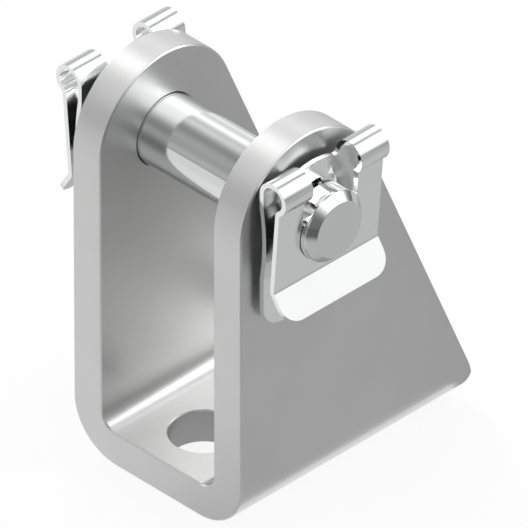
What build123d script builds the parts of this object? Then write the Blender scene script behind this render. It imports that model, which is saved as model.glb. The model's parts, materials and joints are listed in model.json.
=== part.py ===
from build123d import *
from math import acos, atan2, cos, radians, sin
import os

# Clevis foot for the rear eye of a small round cylinder, in millimetres.
# X runs along the pivot pin, Y from the upright front edge to the sloping back, and Z is up.
# The origin is the middle of the base's underside, which is also the middle of the two base holes.

os.makedirs("parts", exist_ok=True)

# Bracket: one bent sheet with a flat base and two ears
bracket_sheet = 3.0
ear_gap = 12.1
bend_inner_radius = 1.5
base_length = 25.0
pin_height = 27.0
ear_radius = 7.0
back_corner_radius = 0.5
base_hole_diameter = 5.5
base_hole_spacing = 15.0
bracket_edge_break = 0.12

# Pivot pin: a turned rod with a groove and a chamfer near each end
pin_diameter = 6.0
pin_bore_clearance = 0.05
pin_overhang = 3.45
pin_chamfer = 0.65
pin_shoulder_round = 0.25
pin_face_round = 0.08
groove_diameter = 4.5
groove_from_ear = 0.44
groove_side_play = 0.06

# Retaining clip, back plate: bowed between two creases, with a slot that sits in the groove
clip_sheet = 0.4
clip_width = 11.0
clip_bottom_drop = 7.85
clip_bottom_corner_radius = 2.0
bow_height = 0.28
bow_reach = 3.2
slot_clearance = 0.05
slot_relief_width = 1.1
slot_relief_reach = 3.35
slot_mouth_width = 5.6
slot_mouth_depth = 0.9

# Retaining clip, the two curls and the round tab between them
curl_radius = 1.38
curl_rise = 4.65
curl_gap = 5.1
tab_radius = 5.0
tab_corner_radius = 0.4

# Retaining clip, front plate: its hole snaps over the pin's end, and its lip turns outwards
front_plate_offset = 1.79
front_plate_tilt = 4.5
front_neck_radius = 0.25
front_hole_clearance = 0.06
front_notch_width = 5.75
lip_drop = 3.9
lip_length = 2.8
lip_angle = 33.5
lip_bend_radius = 0.4
lip_corner_radius = 1.6

# Places that several pieces share
ear_outside = ear_gap / 2 + bracket_sheet
pin_y = ear_radius - base_length / 2
pin_radius = pin_diameter / 2
pin_half_length = ear_outside + pin_overhang
groove_inner_flank = ear_outside + groove_from_ear
groove_width = clip_sheet + bow_height + 2 * groove_side_play
clip_seat = groove_inner_flank + groove_side_play
pin_axis = Pos(0, pin_y, pin_height)
along_x = Rot(0, 90, 0)
past_everything = 2 * (pin_half_length + curl_radius)


def nearest_vertex(shape, point):
    """The corner of a shape that lies at a known point."""
    return shape.vertices().sort_by_distance(Vertex(*point))[0]


def nearest_face(shape, point):
    """The face of a shape whose middle is nearest to a known point."""
    return min(shape.faces(), key=lambda face: (face.center() - point).length)


def round_edges(shape):
    """A turned piece's round edges, grouped from the narrowest to the widest."""
    return shape.edges().filter_by(GeomType.CIRCLE).group_by(SortBy.RADIUS)


def side_outline():
    """The bracket seen from the side: a round ear over a straight front and a sloping back."""
    ear_centre = Vector(pin_y, pin_height)
    back_corner = Vector(base_length / 2, bracket_sheet)
    back_bottom = Vector(base_length / 2, 0)
    front_bottom = Vector(-base_length / 2, 0)
    front_top = Vector(-base_length / 2, pin_height)
    ear_top = ear_centre + Vector(0, ear_radius)
    # the back is the line from its lower corner that just touches the ear's circle
    to_corner = back_corner - ear_centre
    touch_angle = atan2(to_corner.Y, to_corner.X) + acos(ear_radius / to_corner.length)
    slope_top = ear_centre + Vector(cos(touch_angle), sin(touch_angle)) * ear_radius
    outline = make_face([
        Line(front_bottom, front_top),
        ThreePointArc(front_top, ear_top, slope_top),
        Line(slope_top, back_corner),
        Line(back_corner, back_bottom),
        Line(back_bottom, front_bottom),
    ])
    return fillet(nearest_vertex(outline, back_corner), back_corner_radius)


def make_bracket():
    """One U-bent sheet, cut to the side outline, drilled, and broken at every edge."""
    ear_top = pin_height + ear_radius
    outside = RectangleRounded(2 * ear_outside, 2 * ear_top, bend_inner_radius + bracket_sheet)
    inside = RectangleRounded(ear_gap, 2 * (ear_top - bracket_sheet), bend_inner_radius)
    section = Plane.XZ * (Pos(0, ear_top) * (outside - inside))
    body = extrude(section, base_length / 2, both=True)
    body &= extrude(Plane.YZ * side_outline(), ear_outside, both=True)
    body -= pin_axis * along_x * Cylinder(pin_radius + pin_bore_clearance, past_everything)
    base_hole = Cylinder(base_hole_diameter / 2, 3 * bracket_sheet)
    body -= GridLocations(0, base_hole_spacing, 1, 2) * base_hole
    return chamfer(body.edges(), bracket_edge_break)


def make_pin():
    """A turned rod with softened chamfers, and a groove near each end for the clips."""
    rod = Cylinder(pin_radius, 2 * pin_half_length)
    rod = chamfer(round_edges(rod)[-1], pin_chamfer)
    rod = fillet(round_edges(rod)[-1], pin_shoulder_round)
    rod = fillet(round_edges(rod)[0], pin_face_round)
    ring = Cylinder(2 * pin_radius, groove_width) - Cylinder(groove_diameter / 2, groove_width)
    for side in (-1, 1):
        rod -= Pos(0, 0, side * (groove_inner_flank + groove_width / 2)) * ring
    return pin_axis * along_x * rod


def neck_height(curl_centre, level_with_pin, down_plate):
    """How far along the front plate its line leaves the far side of the curl's circle."""
    to_curl = curl_centre - level_with_pin
    middle_of_chord = to_curl.dot(down_plate)
    half_chord = (curl_radius**2 - to_curl.dot(to_curl) + middle_of_chord**2) ** 0.5
    return middle_of_chord + half_chord


def folded_sheet():
    """The clip's bent strip, before it is punched: back plate, curl, front plate and lip."""
    tilt = radians(front_plate_tilt)
    lean = radians(lip_angle)
    foot = Vector(clip_seat, -clip_bottom_drop)
    low_crease = Vector(clip_seat, -bow_reach)
    bow_top = Vector(clip_seat + bow_height, 0)
    high_crease = Vector(clip_seat, bow_reach)
    curl_start = Vector(clip_seat, curl_rise)
    curl_centre = curl_start + Vector(curl_radius, 0)
    curl_top = curl_centre + Vector(0, curl_radius)
    level_with_pin = Vector(clip_seat + front_plate_offset, 0)
    down_plate = Vector(-sin(tilt), -cos(tilt))
    neck = level_with_pin + down_plate * neck_height(curl_centre, level_with_pin, down_plate)
    lip_bend = level_with_pin + down_plate * (lip_drop / cos(tilt))
    lip_end = lip_bend + Vector(sin(lean), -cos(lean)) * lip_length
    outer_face = Wire([
        Line(foot, low_crease),
        ThreePointArc(low_crease, bow_top, high_crease),
        Line(high_crease, curl_start),
        ThreePointArc(curl_start, curl_top, neck),
        Line(neck, lip_bend),
        Line(lip_bend, lip_end),
    ])
    outer_face = outer_face.fillet_2d(front_neck_radius, [nearest_vertex(outer_face, neck)])
    outer_face = outer_face.fillet_2d(lip_bend_radius, [nearest_vertex(outer_face, lip_bend)])
    section = Face(outer_face.offset_2d(clip_sheet, kind=Kind.INTERSECTION, side=Side.RIGHT))
    strip = extrude(Plane.XZ * section, clip_width / 2, both=True)
    for end, corner_radius in ((foot, clip_bottom_corner_radius), (lip_end, lip_corner_radius)):
        end_face = nearest_face(strip, Vector(end.X, 0, end.Y))
        strip = fillet(end_face.edges().sort_by(SortBy.LENGTH)[:2], corner_radius)
    return strip


def slot_outline():
    """The back plate's slot, open at the bottom, with a flared mouth and a relief at its top."""
    half_width = groove_diameter / 2 + slot_clearance
    mouth = Vector(slot_mouth_width / 2, -clip_bottom_drop)
    mouth_top = Vector(half_width, slot_mouth_depth - clip_bottom_drop)
    below = Vector(0, -clip_sheet)
    right_side = [mouth + below, mouth, mouth_top, Vector(half_width, 0)]
    left_side = [Vector(-point.X, point.Y) for point in reversed(right_side)]
    slot = make_face(Polyline(*right_side, *left_side, close=True)) + Circle(half_width)
    relief = Rectangle(slot_relief_width, slot_relief_reach, align=(Align.CENTER, Align.MIN))
    return slot + (relief & Circle(slot_relief_reach))


def tab_outline():
    """What is cut away over the round tab, between the two curls."""
    above = Rectangle(curl_gap, 2 * tab_radius, align=(Align.CENTER, Align.MIN))
    above -= Circle(tab_radius)
    lowest = above.vertices().sort_by(Axis.Y)[:2]
    return fillet(lowest, tab_corner_radius)


def front_opening_outline():
    """The front plate's hole for the pin's end, with a notch up to the gap between the curls."""
    notch_top = curl_rise - curl_radius + clip_sheet
    notch = Rectangle(front_notch_width, notch_top, align=(Align.CENTER, Align.MIN))
    gap = Rectangle(curl_gap, 2 * tab_radius, align=(Align.CENTER, Align.MIN))
    return Circle(pin_radius + front_hole_clearance) + notch + gap


def make_clip():
    """The clip on the pin's +X end, seated in the groove."""
    bow_outside = clip_seat + clip_sheet + bow_height
    hole_reach = pin_radius + front_hole_clearance
    front_inside = clip_seat + front_plate_offset - clip_sheet - hole_reach * sin(radians(front_plate_tilt))
    between_plates = Plane.YZ.offset((bow_outside + front_inside) / 2)
    clip = folded_sheet()
    clip -= extrude(between_plates * slot_outline(), -past_everything)
    clip -= extrude(between_plates * tab_outline(), -past_everything)
    clip -= extrude(between_plates * front_opening_outline(), past_everything)
    return pin_axis * clip


right_clip = make_clip()
pieces = {
    "bracket": make_bracket(),
    "pivot_pin": make_pin(),
    "retaining_clip_right": right_clip,
    "retaining_clip_left": mirror(right_clip, about=Plane.YZ),
}
for name, piece in pieces.items():
    export_step(piece, f"parts/{name}.step")
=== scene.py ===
import json
from math import cos, log, pi, radians, sin

import bmesh
import bpy
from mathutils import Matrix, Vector

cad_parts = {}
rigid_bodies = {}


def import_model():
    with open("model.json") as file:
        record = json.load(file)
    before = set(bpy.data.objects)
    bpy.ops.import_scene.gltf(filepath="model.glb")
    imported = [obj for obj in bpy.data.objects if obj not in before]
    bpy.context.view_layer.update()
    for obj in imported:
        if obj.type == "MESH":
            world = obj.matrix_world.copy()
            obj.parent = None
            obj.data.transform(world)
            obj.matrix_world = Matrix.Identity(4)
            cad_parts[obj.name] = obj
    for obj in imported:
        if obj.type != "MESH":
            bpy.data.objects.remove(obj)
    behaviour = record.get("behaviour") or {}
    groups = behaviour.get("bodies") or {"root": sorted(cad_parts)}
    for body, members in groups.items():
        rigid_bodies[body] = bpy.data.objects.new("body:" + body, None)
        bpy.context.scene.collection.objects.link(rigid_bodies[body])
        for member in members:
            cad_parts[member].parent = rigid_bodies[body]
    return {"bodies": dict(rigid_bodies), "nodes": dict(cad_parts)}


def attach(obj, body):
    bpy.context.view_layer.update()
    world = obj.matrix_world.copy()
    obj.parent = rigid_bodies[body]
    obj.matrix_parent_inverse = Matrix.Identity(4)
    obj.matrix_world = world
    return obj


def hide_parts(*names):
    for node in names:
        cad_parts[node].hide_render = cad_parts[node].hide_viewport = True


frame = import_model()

# A clevis foot of bent, satin zinc-plated sheet, with a bright turned pin and two spring clips.
# Lengths are in metres, and the pin lies along X.

MM = 0.001

# Camera: a long lens from the front right, a little above
CAMERA_AZIMUTH = 45.311
CAMERA_ELEVATION = 35.286
CAMERA_DISTANCE = 1.8206
CAMERA_TARGET = Vector((-2.467, 1.334, 12.920)) * MM
CAMERA_LENS = 1634.9
SENSOR_WIDTH = 36.0
CAMERA_NEAR = 0.01
CAMERA_FAR = 20

# Meshes: an edge that turns by more than the sharp angle is a corner, facets that turn by less
# than the flat one are joined, and points within the weld distance are one
SHARP_ANGLE = radians(35)
FLAT_ANGLE = radians(0.5)
WELD = 0.0005 * MM

# Corners: how far they are softened, in how many strips, and the material slots that tell
# the surfaces from the rounded edges meanwhile
BRACKET_EDGE = 0.05 * MM
CLIP_EDGE = 0.045 * MM
EDGE_STRIPS = 2
SURFACE = 0
ROUNDED = 1

# Clips: a clip's two curls are round about one line, as in the CAD model, whose facets there turn by
# less than twice the half facet. The curls here are cut into facets that turn by one step.
RIGHT_CURL_AXIS = Vector((10.93, 0, 31.65)) * MM
LEFT_CURL_AXIS = Vector((-10.93, 0, 31.65)) * MM
CURL_INSIDE = 0.98 * MM
CURL_OUTSIDE = 1.38 * MM
CURL_HALF_FACET = radians(10)
CURL_STEP = radians(4)

# Pin: the sizes of the turned rod, as in the CAD model
PIN_AXIS = Vector((0, -5.5, 27)) * MM
PIN_RADIUS = 3.0 * MM
PIN_HALF_LENGTH = 12.5 * MM
PIN_CHAMFER = 0.65 * MM
PIN_SHOULDER_ROUND = 0.25 * MM
PIN_FACE_ROUND = 0.08 * MM
GROOVE_RADIUS = 2.25 * MM
GROOVE_INSIDE = 9.49 * MM
GROOVE_OUTSIDE = 10.29 * MM
GROOVE_EDGE_ROUND = 0.03 * MM
PIN_STEPS_ROUND = 128
PIN_STEPS_IN_A_CORNER = 5

# Most of a noise lies between these two levels
NOISE_LOW = 0.3
NOISE_HIGH = 0.7

WHITE = (1, 1, 1, 1)


def clear_startup():
    """Takes out whatever the empty file came with, but nothing of the frame."""
    ours = set(frame["nodes"].values()) | set(frame["bodies"].values())
    for thing in list(bpy.data.objects):
        if thing not in ours:
            bpy.data.objects.remove(thing)


clear_startup()
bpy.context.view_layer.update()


# Small helpers for node trees

def add_node(tree, kind, **values):
    """A new node. Names that are the node's own settings are set, and the rest are its inputs."""
    node = tree.nodes.new(kind)
    for name, value in values.items():
        if hasattr(node, name):
            setattr(node, name, value)
        else:
            node.inputs[name.replace("_", " ")].default_value = value
    return node


def join(tree, output, socket):
    tree.links.new(output, socket)


def new_metal(name):
    """A metal with nothing but its shader, and the piece's own coordinates."""
    metal = bpy.data.materials.new(name)
    metal.use_nodes = True
    tree = metal.node_tree
    tree.nodes.clear()
    output = add_node(tree, "ShaderNodeOutputMaterial")
    shader = add_node(tree, "ShaderNodeBsdfPrincipled", Metallic=1)
    join(tree, shader.outputs["BSDF"], output.inputs["Surface"])
    coordinates = add_node(tree, "ShaderNodeTexCoord")
    return metal, tree, shader, coordinates.outputs["Object"]


def stretched(tree, position, scale):
    """The piece's coordinates, scaled along each axis."""
    mapping = add_node(tree, "ShaderNodeMapping", Scale=scale)
    join(tree, position, mapping.inputs["Vector"])
    return mapping.outputs["Vector"]


def calculate(tree, operation, *values):
    """The result of a sum on sockets or plain numbers."""
    node = add_node(tree, "ShaderNodeMath", operation=operation)
    for socket, value in zip(node.inputs, values):
        if isinstance(value, bpy.types.NodeSocket):
            join(tree, value, socket)
        else:
            socket.default_value = value
    return node.outputs["Value"]


def mixed(tree, share, first, second):
    """A number between two others: the first at a share of 0, and the second at 1."""
    difference = calculate(tree, "SUBTRACT", second, first)
    return calculate(tree, "MULTIPLY_ADD", difference, share, first)


def blended(tree, share, first, second):
    """A shader between two others: the first at a share of 0, and the second at 1."""
    blend = add_node(tree, "ShaderNodeMixShader")
    join(tree, share, blend.inputs["Fac"])
    join(tree, first, blend.inputs[1])
    join(tree, second, blend.inputs[2])
    return blend.outputs["Shader"]


def seen_directly(tree):
    """1 for what the camera sees, also through glass, and 0 for everything else."""
    path = add_node(tree, "ShaderNodeLightPath").outputs
    return calculate(tree, "MAXIMUM", path["Is Camera Ray"], path["Is Transmission Ray"])


def noise(tree, position, size, detail, roughness=0.5):
    """Noise whose largest features have about the given size."""
    node = add_node(
        tree, "ShaderNodeTexNoise", Scale=1 / size, Detail=detail, Roughness=roughness)
    join(tree, position, node.inputs["Vector"])
    return node.outputs["Fac"]


def between(tree, value, low, high, start=NOISE_LOW, end=NOISE_HIGH):
    """A number that runs from low to high as the value runs from start to end."""
    node = add_node(tree, "ShaderNodeMapRange")
    node.inputs["From Min"].default_value = start
    node.inputs["From Max"].default_value = end
    node.inputs["To Min"].default_value = low
    node.inputs["To Max"].default_value = high
    join(tree, value, node.inputs["Value"])
    return node.outputs["Result"]


def shades(tree, value, dark, light):
    """A colour that runs from dark to light with a noise."""
    ramp = add_node(tree, "ShaderNodeValToRGB")
    stops = zip(ramp.color_ramp.elements, (NOISE_LOW, NOISE_HIGH), (dark, light))
    for stop, level, colour in stops:
        stop.position = level
        stop.color = (*colour, 1)
    join(tree, value, ramp.inputs["Fac"])
    return ramp.outputs["Color"]


def relief(tree, height, depth, strength):
    """A bump of the given depth."""
    bump = add_node(tree, "ShaderNodeBump", Distance=depth, Strength=strength)
    join(tree, height, bump.inputs["Height"])
    return bump.outputs["Normal"]


# Finishes

def satin_zinc():
    """Plated sheet: an even grey with a fine grain and faint clouds."""
    metal, tree, shader, position = new_metal("satin_zinc")
    clouds = noise(tree, position, size=6 * MM, detail=2)
    grain = noise(tree, position, size=0.12 * MM, detail=4, roughness=0.6)
    colour = shades(tree, clouds, dark=(0.67, 0.67, 0.668), light=(0.70, 0.70, 0.698))
    join(tree, colour, shader.inputs["Base Color"])
    join(tree, between(tree, grain, low=0.34, high=0.39), shader.inputs["Roughness"])
    join(tree, relief(tree, grain, depth=0.002 * MM, strength=0.35), shader.inputs["Normal"])
    return metal


def spring_strip():
    """Bright rolled strip: a faint grain runs along it, up the plates and round the curls."""
    metal, tree, shader, position = new_metal("spring_strip")
    along_strip = stretched(tree, position, scale=(0.02, 1, 0.02))
    grain = noise(tree, along_strip, size=0.06 * MM, detail=3)
    clouds = noise(tree, position, size=3 * MM, detail=1)
    colour = shades(tree, clouds, dark=(0.925, 0.945, 0.94), light=(0.945, 0.96, 0.955))
    join(tree, colour, shader.inputs["Base Color"])
    join(tree, between(tree, grain, low=0.10, high=0.14), shader.inputs["Roughness"])
    join(tree, relief(tree, grain, depth=0.0004 * MM, strength=0.3), shader.inputs["Normal"])
    return metal


def turned_steel():
    """Bright turned bar: fine rings run round it, and its ends are faced."""
    metal, tree, shader, position = new_metal("turned_steel")
    round_bar = stretched(tree, position, scale=(1, 0.02, 0.02))
    rings = noise(tree, round_bar, size=0.05 * MM, detail=2)
    clouds = noise(tree, position, size=4 * MM, detail=1)
    colour = shades(tree, clouds, dark=(0.80, 0.82, 0.815), light=(0.825, 0.84, 0.837))
    join(tree, colour, shader.inputs["Base Color"])
    join(tree, between(tree, rings, low=0.07, high=0.11), shader.inputs["Roughness"])
    join(tree, relief(tree, rings, depth=0.0008 * MM, strength=0.4), shader.inputs["Normal"])
    return metal


# Pieces

def applied(piece):
    """The piece's modifiers, worked into a plain mesh and then taken off."""
    graph = bpy.context.evaluated_depsgraph_get()
    mesh = bpy.data.meshes.new_from_object(piece.evaluated_get(graph))
    piece.modifiers.clear()
    piece.data = mesh
    mesh.name = piece.name
    return piece


def shade_surfaces(piece):
    """Gives each corner of a face the normal of the surface there, whatever its rounded edge does.

    Faces of the ROUNDED slot are the edges. The others are surfaces, which meet smoothly
    wherever they turn by less than the sharp angle.
    """
    mesh = piece.data
    around = [[] for _ in mesh.vertices]
    for face in mesh.polygons:
        for vertex in face.vertices:
            around[vertex].append(face)
    normals = []
    for face in mesh.polygons:
        for vertex in face.vertices:
            surfaces = [other for other in around[vertex] if other.material_index != ROUNDED]
            if surfaces:
                nearest = min(surfaces, key=lambda other: face.normal.angle(other.normal, pi))
                together = [other for other in surfaces
                            if nearest.normal.angle(other.normal, pi) < SHARP_ANGLE]
            else:
                together = around[vertex]
            total = sum((other.normal * other.area for other in together), Vector())
            normals.append(total.normalized())
    mesh.normals_split_custom_set(normals)
    for face in mesh.polygons:
        face.material_index = SURFACE
    return piece


def from_curl_axis(point, axis):
    """Where a point of a clip lies as seen from its curls' axis."""
    return Vector((point.x - axis.x, 0, point.z - axis.z))


def reaches_curl(arm, inside, outside):
    """Whether an arm from the curls' axis ends between two radii, or on a facet across them."""
    return inside * cos(CURL_HALF_FACET) < arm.length < outside + WELD


def finer_curls(shape, axis):
    """Cuts the upper half of a clip's curls into narrow strips, and makes them truly round."""
    for step in range(1, round(pi / CURL_STEP)):
        across = Vector((-sin(step * CURL_STEP), 0, cos(step * CURL_STEP)))
        faces = [face for face in shape.faces if all(
            vertex.co.z > axis.z - WELD
            and reaches_curl(from_curl_axis(vertex.co, axis), CURL_INSIDE, CURL_OUTSIDE)
            for vertex in face.verts)]
        edges = {edge for face in faces for edge in face.edges}
        vertices = {vertex for face in faces for vertex in face.verts}
        bmesh.ops.bisect_plane(
            shape, geom=[*vertices, *edges, *faces], dist=WELD, plane_co=axis, plane_no=across)
    for vertex in shape.verts:
        arm = from_curl_axis(vertex.co, axis)
        for radius in (CURL_INSIDE, CURL_OUTSIDE):
            if vertex.co.z > axis.z and reaches_curl(arm, radius, radius):
                vertex.co += arm * (radius / arm.length - 1)


def softened_copy(node, name, width, curl_axis=None):
    """A copy of a CAD piece, welded, with its curls made finer and its corners rounded over."""
    shape = bmesh.new()
    shape.from_mesh(frame["nodes"][node].data)
    bmesh.ops.remove_doubles(shape, verts=shape.verts, dist=WELD)
    bmesh.ops.dissolve_limit(
        shape, angle_limit=FLAT_ANGLE, verts=shape.verts, edges=shape.edges)
    if curl_axis is not None:
        finer_curls(shape, curl_axis)
    for face in shape.faces:
        face.smooth = True
        face.material_index = SURFACE
    mesh = bpy.data.meshes.new(name)
    shape.to_mesh(mesh)
    shape.free()
    for _ in (SURFACE, ROUNDED):
        mesh.materials.append(None)
    piece = bpy.data.objects.new(name, mesh)
    bpy.context.scene.collection.objects.link(piece)
    corners = piece.modifiers.new("corners", "BEVEL")
    corners.limit_method = "ANGLE"
    corners.angle_limit = SHARP_ANGLE
    corners.width = width
    corners.segments = EDGE_STRIPS
    corners.material = ROUNDED
    return shade_surfaces(applied(piece))


def lathe_tree():
    """A node tree that rounds a profile's corners and turns it about its X axis.

    The profile lies in the XY plane, from pole to pole. Its corner_round attribute says how far
    each corner is rounded.
    """
    tree = bpy.data.node_groups.new("lathe", "GeometryNodeTree")
    inputs = {}
    for name, kind in (
            ("Profile", "Geometry"), ("Steps Round", "Int"), ("Steps In A Corner", "Int"),
            ("Axis Place", "Vector"), ("Weld Distance", "Float"), ("Metal", "Material")):
        inputs[name] = tree.interface.new_socket(
            name, in_out="INPUT", socket_type="NodeSocket" + kind).identifier
    tree.interface.new_socket("Turned Piece", in_out="OUTPUT", socket_type="NodeSocketGeometry")
    given = add_node(tree, "NodeGroupInput").outputs
    made = add_node(tree, "NodeGroupOutput").inputs

    # the profile, with its corners rounded
    line = add_node(tree, "GeometryNodeMeshToCurve")
    corner = add_node(
        tree, "GeometryNodeInputNamedAttribute", data_type="FLOAT", Name="corner_round")
    rounded = add_node(tree, "GeometryNodeFilletCurve", mode="POLY")
    outline = add_node(tree, "GeometryNodeCurveToMesh")
    count = add_node(tree, "GeometryNodeAttributeDomainSize")
    join(tree, given["Profile"], line.inputs["Mesh"])
    join(tree, line.outputs["Curve"], rounded.inputs["Curve"])
    join(tree, given["Steps In A Corner"], rounded.inputs["Count"])
    join(tree, corner.outputs["Attribute"], rounded.inputs["Radius"])
    join(tree, rounded.outputs["Curve"], outline.inputs["Curve"])
    join(tree, outline.outputs["Mesh"], count.inputs["Geometry"])

    # a grid: one row for each point of the profile, one column for each step round
    columns = add_node(tree, "FunctionNodeIntegerMath", operation="ADD")
    columns.inputs[1].default_value = 1
    grid = add_node(tree, "GeometryNodeMeshGrid")
    index = add_node(tree, "GeometryNodeInputIndex")
    row = add_node(tree, "FunctionNodeIntegerMath", operation="DIVIDE_FLOOR")
    column = add_node(tree, "FunctionNodeIntegerMath", operation="MODULO")
    join(tree, given["Steps Round"], columns.inputs[0])
    join(tree, count.outputs["Point Count"], grid.inputs["Vertices X"])
    join(tree, columns.outputs["Value"], grid.inputs["Vertices Y"])
    for part in (row, column):
        join(tree, index.outputs["Index"], part.inputs[0])
        join(tree, columns.outputs["Value"], part.inputs[1])

    # each point of the grid goes to its place round the axis
    position = add_node(tree, "GeometryNodeInputPosition")
    sample = add_node(tree, "GeometryNodeSampleIndex", data_type="FLOAT_VECTOR")
    profile_point = add_node(tree, "ShaderNodeSeparateXYZ")
    join(tree, outline.outputs["Mesh"], sample.inputs["Geometry"])
    join(tree, position.outputs["Position"], sample.inputs["Value"])
    join(tree, row.outputs["Value"], sample.inputs["Index"])
    join(tree, sample.outputs["Value"], profile_point.inputs["Vector"])
    turns = calculate(tree, "DIVIDE", column.outputs["Value"], given["Steps Round"])
    angle = calculate(tree, "MULTIPLY", turns, 2 * pi)
    radius = profile_point.outputs["Y"]
    across = calculate(tree, "MULTIPLY", radius, calculate(tree, "COSINE", angle))
    up = calculate(tree, "MULTIPLY", radius, calculate(tree, "SINE", angle))
    place = add_node(tree, "ShaderNodeCombineXYZ")
    join(tree, profile_point.outputs["X"], place.inputs["X"])
    join(tree, across, place.inputs["Y"])
    join(tree, up, place.inputs["Z"])
    moved = add_node(tree, "GeometryNodeSetPosition")
    join(tree, grid.outputs["Mesh"], moved.inputs["Geometry"])
    join(tree, place.outputs["Vector"], moved.inputs["Position"])
    join(tree, given["Axis Place"], moved.inputs["Offset"])

    # the seam and both poles are closed
    welded = add_node(tree, "GeometryNodeMergeByDistance")
    smooth = add_node(tree, "GeometryNodeSetShadeSmooth")
    real = add_node(tree, "GeometryNodeRealizeInstances")
    finished = add_node(tree, "GeometryNodeSetMaterial")
    join(tree, moved.outputs["Geometry"], welded.inputs["Geometry"])
    join(tree, given["Weld Distance"], welded.inputs["Distance"])
    join(tree, welded.outputs["Geometry"], smooth.inputs["Geometry"])
    join(tree, smooth.outputs["Geometry"], real.inputs["Geometry"])
    join(tree, real.outputs["Geometry"], finished.inputs["Geometry"])
    join(tree, given["Metal"], finished.inputs["Material"])
    join(tree, finished.outputs["Geometry"], made["Turned Piece"])
    return tree, inputs


def point_outwards(piece):
    """Turns every face of a closed piece outwards."""
    shape = bmesh.new()
    shape.from_mesh(piece.data)
    bmesh.ops.recalc_face_normals(shape, faces=shape.faces)
    shape.to_mesh(piece.data)
    shape.free()


def turned_rod(name, corners, axis_place, metal):
    """A turned piece. Each corner is its place along the axis, its radius, and its rounding."""
    mesh = bpy.data.meshes.new(name)
    mesh.from_pydata(
        [(place, radius, 0) for place, radius, _ in corners],
        [(i, i + 1) for i in range(len(corners) - 1)], [])
    rounding = mesh.attributes.new("corner_round", "FLOAT", "POINT")
    rounding.data.foreach_set("value", [corner_round for _, _, corner_round in corners])
    piece = bpy.data.objects.new(name, mesh)
    bpy.context.scene.collection.objects.link(piece)
    tree, inputs = lathe_tree()
    lathe = piece.modifiers.new("lathe", "NODES")
    lathe.node_group = tree
    lathe[inputs["Steps Round"]] = PIN_STEPS_ROUND
    lathe[inputs["Steps In A Corner"]] = PIN_STEPS_IN_A_CORNER
    lathe[inputs["Axis Place"]] = axis_place
    lathe[inputs["Weld Distance"]] = WELD
    lathe[inputs["Metal"]] = metal
    applied(piece)
    point_outwards(piece)
    return shade_surfaces(piece)


def pin_corners():
    """The pin's outline from its left pole to its right one."""
    end_radius = PIN_RADIUS - PIN_CHAMFER
    half = [
        (GROOVE_INSIDE, PIN_RADIUS, GROOVE_EDGE_ROUND),
        (GROOVE_INSIDE, GROOVE_RADIUS, GROOVE_EDGE_ROUND),
        (GROOVE_OUTSIDE, GROOVE_RADIUS, GROOVE_EDGE_ROUND),
        (GROOVE_OUTSIDE, PIN_RADIUS, GROOVE_EDGE_ROUND),
        (PIN_HALF_LENGTH - PIN_CHAMFER, PIN_RADIUS, PIN_SHOULDER_ROUND),
        (PIN_HALF_LENGTH, end_radius, PIN_FACE_ROUND),
        (PIN_HALF_LENGTH, 0, 0),
    ]
    return [(-place, radius, rounding) for place, radius, rounding in reversed(half)] + half


def dress(piece, node, body, metal):
    """Gives a finished piece its metal and its body, and hides the CAD piece that it stands for."""
    piece.data.materials.clear()
    piece.data.materials.append(metal)
    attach(piece, body)
    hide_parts(node)


zinc = satin_zinc()
strip = spring_strip()
turned = turned_steel()

dress(softened_copy("bracket", "bent_bracket", BRACKET_EDGE),
      "bracket", "bracket", zinc)
dress(softened_copy("retaining_clip_right", "spring_clip_right", CLIP_EDGE, RIGHT_CURL_AXIS),
      "retaining_clip_right", "clip_right", strip)
dress(softened_copy("retaining_clip_left", "spring_clip_left", CLIP_EDGE, LEFT_CURL_AXIS),
      "retaining_clip_left", "clip_left", strip)
dress(turned_rod("turned_pin", pin_corners(), PIN_AXIS, turned),
      "pivot_pin", "pin", turned)


# Studio: a dim room with round soft lights, each given by its azimuth, elevation, brightness and
# half width in degrees. Azimuth 0 is in front of the object, towards -Y, and 90 is towards +X.

FLOOR_SIZE = 3.0
FLOOR_GREY = 0.97
FLOOR_SHADOW_SHARE = 0.12
ROOM_LEVEL = 0.15
SOFT_LIGHTS = (
    (261, 35, 9.3, 9),
    (157, 38, 3.4, 11),
    (336, 55, 2.2, 11),
    (303, 75, 1.9, 11),
    (84, 55, 1.65, 16),
    (131, 39, 1.9, 19),
    (298, 20, 2.1, 11),
    (213, 41, 2.1, 11),
    (146, 10, 1.2, 9),
    (28, 18, 0.9, 11),
    (216, 4, 0.85, 18),
    (336, 8, 0.7, 11),
)

# What the metal sees of the floor: a painted glow, with more painted light on the front left
# and the back right. Close by it is brightest in front, and further off on the left.
GLOW_LEVEL = 0.41
GLOW_ACROSS = 0.24
GLOW_ACROSS_AZIMUTH = 315
GLOW_NEAR = 0.20
GLOW_NEAR_AZIMUTH = 350
GLOW_FAR = 0.32
GLOW_FAR_AZIMUTH = 255
GLOW_FAR_START = 50 * MM
GLOW_FAR_END = 90 * MM

# Under the foot the floor's glow is dimmed as painted shade, with painted light below its two bends
UNDER_DEPTH = 12.5 * MM
UNDER_WIDTH = 9.2 * MM
UNDER_BENDS = 5 * MM
UNDER_FOOT_PAINTED_SHADE = 0.41
UNDER_BENDS_PAINTED_LIGHT = 1.0


def direction_to(azimuth, elevation):
    """A unit vector, from an azimuth and an elevation in degrees."""
    turn = radians(azimuth)
    rise = radians(elevation)
    return Vector((sin(turn) * cos(rise), -cos(turn) * cos(rise), sin(rise)))


def along(tree, vector, direction):
    """How far a vector reaches along a direction."""
    node = add_node(tree, "ShaderNodeVectorMath", operation="DOT_PRODUCT")
    node.inputs[1].default_value = direction
    join(tree, vector, node.inputs[0])
    return node.outputs["Value"]


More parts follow.
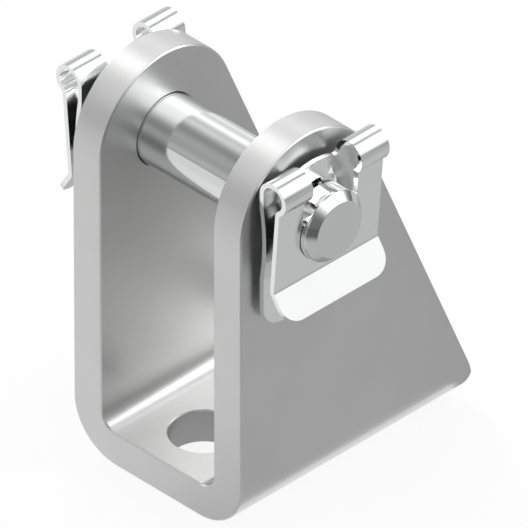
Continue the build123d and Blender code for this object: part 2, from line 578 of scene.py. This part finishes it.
def soft_light(tree, view, azimuth, elevation, brightness, half_width):
    """A round light in the world that fades outwards, to half at its half width."""
    fade = log(2) / (1 - cos(radians(half_width)))
    towards = along(tree, view, direction_to(azimuth, elevation))
    off_centre = calculate(tree, "SUBTRACT", towards, 1)
    glow = calculate(tree, "EXPONENT", calculate(tree, "MULTIPLY", off_centre, fade))
    return calculate(tree, "MULTIPLY", glow, brightness)


def studio_world():
    """White to the camera, and the soft lights of the room to everything else."""
    world = bpy.data.worlds.new("studio")
    bpy.context.scene.world = world
    world.use_nodes = True
    tree = world.node_tree
    tree.nodes.clear()
    output = add_node(tree, "ShaderNodeOutputWorld")
    view = add_node(tree, "ShaderNodeTexCoord").outputs["Generated"]
    level = ROOM_LEVEL
    for light in SOFT_LIGHTS:
        level = calculate(tree, "ADD", soft_light(tree, view, *light), level)
    room = add_node(tree, "ShaderNodeBackground", Color=WHITE)
    join(tree, level, room.inputs["Strength"])
    white = add_node(tree, "ShaderNodeBackground", Color=WHITE)
    seen = blended(
        tree, seen_directly(tree), room.outputs["Background"], white.outputs["Background"])
    join(tree, seen, output.inputs["Surface"])


def painted_floor_glow(tree):
    """How bright the metal sees each place on the floor: a glow with painted light and painted
    shade.
    """
    place = add_node(tree, "ShaderNodeTexCoord").outputs["Object"]
    towards = add_node(tree, "ShaderNodeVectorMath", operation="NORMALIZE")
    distance = add_node(tree, "ShaderNodeVectorMath", operation="LENGTH")
    for node in (towards, distance):
        join(tree, place, node.inputs[0])
    across, near, far = (
        along(tree, towards.outputs["Vector"], direction_to(azimuth, 0))
        for azimuth in (GLOW_ACROSS_AZIMUTH, GLOW_NEAR_AZIMUTH, GLOW_FAR_AZIMUTH))
    both_ways = calculate(tree, "POWER", across, 2)
    level = calculate(tree, "MULTIPLY_ADD", both_ways, GLOW_ACROSS, GLOW_LEVEL)
    close_by = calculate(tree, "MULTIPLY_ADD", near, GLOW_NEAR, level)
    far_off = calculate(tree, "MULTIPLY_ADD", far, GLOW_FAR, level)
    share = between(tree, distance.outputs["Value"], 0, 1, GLOW_FAR_START, GLOW_FAR_END)
    around = mixed(tree, share, close_by, far_off)

    # under the foot: painted shade, and painted light below the bends
    sides = add_node(tree, "ShaderNodeSeparateXYZ")
    join(tree, place, sides.inputs["Vector"])
    sideways = calculate(tree, "ABSOLUTE", sides.outputs["X"])
    forwards = calculate(tree, "ABSOLUTE", sides.outputs["Y"])
    inside = calculate(
        tree, "MULTIPLY", calculate(tree, "LESS_THAN", sideways, UNDER_WIDTH),
        calculate(tree, "LESS_THAN", forwards, UNDER_DEPTH))
    below_bends = calculate(tree, "GREATER_THAN", sideways, UNDER_BENDS)
    under = mixed(tree, below_bends, UNDER_FOOT_PAINTED_SHADE, UNDER_BENDS_PAINTED_LIGHT)
    return mixed(tree, inside, around, under)


def studio_floor():
    """A pale floor that the camera sees as white, with the object's shadow on it.

    The metal sees its painted glow instead, and everything else its plain colour in the room's
    light.
    """
    half = FLOOR_SIZE / 2
    mesh = bpy.data.meshes.new("studio_floor")
    corners = [(-half, -half, 0), (half, -half, 0), (half, half, 0), (-half, half, 0)]
    mesh.from_pydata(corners, [], [(0, 1, 2, 3)])
    floor = bpy.data.objects.new("studio_floor", mesh)
    bpy.context.scene.collection.objects.link(floor)
    pale = bpy.data.materials.new("pale_floor")
    pale.use_nodes = True
    pale.cycles.emission_sampling = "NONE"
    tree = pale.node_tree
    tree.nodes.clear()
    output = add_node(tree, "ShaderNodeOutputMaterial")
    lit = add_node(
        tree, "ShaderNodeBsdfDiffuse", Color=(FLOOR_GREY, FLOOR_GREY, FLOOR_GREY, 1))
    glow = add_node(tree, "ShaderNodeEmission", Color=WHITE)
    join(tree, painted_floor_glow(tree), glow.inputs["Strength"])
    white = add_node(tree, "ShaderNodeEmission", Color=WHITE)
    in_metal = add_node(tree, "ShaderNodeLightPath").outputs["Is Glossy Ray"]
    reflected = blended(tree, in_metal, lit.outputs["BSDF"], glow.outputs["Emission"])
    share = calculate(tree, "MULTIPLY", seen_directly(tree), 1 - FLOOR_SHADOW_SHARE)
    seen = blended(tree, share, reflected, white.outputs["Emission"])
    join(tree, seen, output.inputs["Surface"])
    mesh.materials.append(pale)


def studio_camera():
    """The photograph's view."""
    lens = bpy.data.cameras.new("camera")
    lens.lens = CAMERA_LENS
    lens.sensor_width = SENSOR_WIDTH
    lens.clip_start = CAMERA_NEAR
    lens.clip_end = CAMERA_FAR
    camera = bpy.data.objects.new("camera", lens)
    bpy.context.scene.collection.objects.link(camera)
    away = direction_to(CAMERA_AZIMUTH, CAMERA_ELEVATION)
    camera.location = CAMERA_TARGET + away * CAMERA_DISTANCE
    camera.rotation_euler = away.to_track_quat("Z", "Y").to_euler()
    bpy.context.scene.camera = camera


studio_floor()
studio_world()
studio_camera()
bpy.context.scene.view_settings.view_transform = "Standard"
